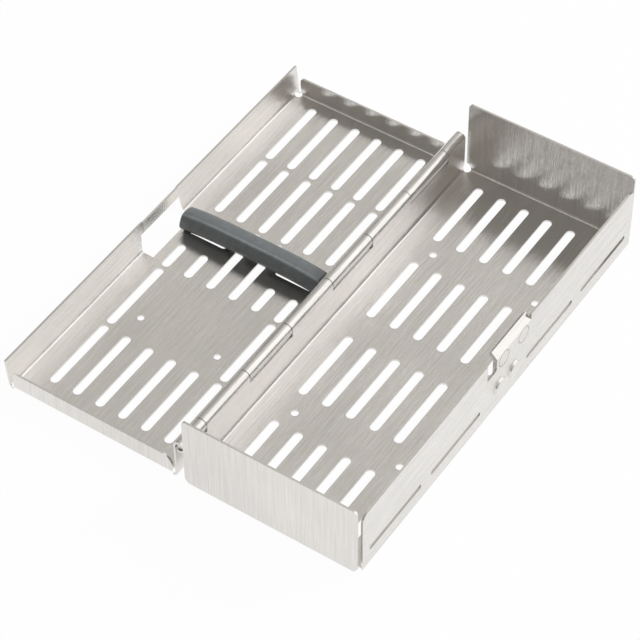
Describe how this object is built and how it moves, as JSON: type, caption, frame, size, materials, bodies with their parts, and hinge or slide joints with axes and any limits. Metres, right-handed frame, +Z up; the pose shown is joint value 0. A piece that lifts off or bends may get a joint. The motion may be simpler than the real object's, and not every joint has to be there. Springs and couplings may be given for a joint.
{
  "type": "sterilisation instrument cassette",
  "caption": "Hinged flat instrument cassette of perforated sheet steel, opened flat, with a soft instrument holding bar in the lid",
  "frame": {"origin": "middle of the tray's underside, on the surface that the open cassette lies on", "axes": "+X across the cassette from the hinge to the tray's outer wall, so the opened lid lies towards -X; +Y along the hinge towards the back end in the picture; +Z up"},
  "size_m": [0.1475, 0.18, 0.033],
  "materials": {
    "tray_steel": "brushed",
    "lid_steel": "brushed",
    "pin_steel": "satin",
    "silicone": "matte"
  },
  "bodies": {
    "tray": {"tray_shell": "tray_steel", "hinge_pin": "pin_steel", "latch_plate": "tray_steel", "latch_rivet_front": "pin_steel", "latch_rivet_back": "pin_steel"},
    "lid": {"lid_shell": "lid_steel", "holding_bar": "silicone"}
  },
  "joints": [
    {"name": "lid_hinge", "type": "hinge", "parent": "tray", "child": "lid", "pos_m": [-0.03695, 0, 0.0165], "axis": [0, 1, 0], "range_deg": [0, 180]}
  ]
}
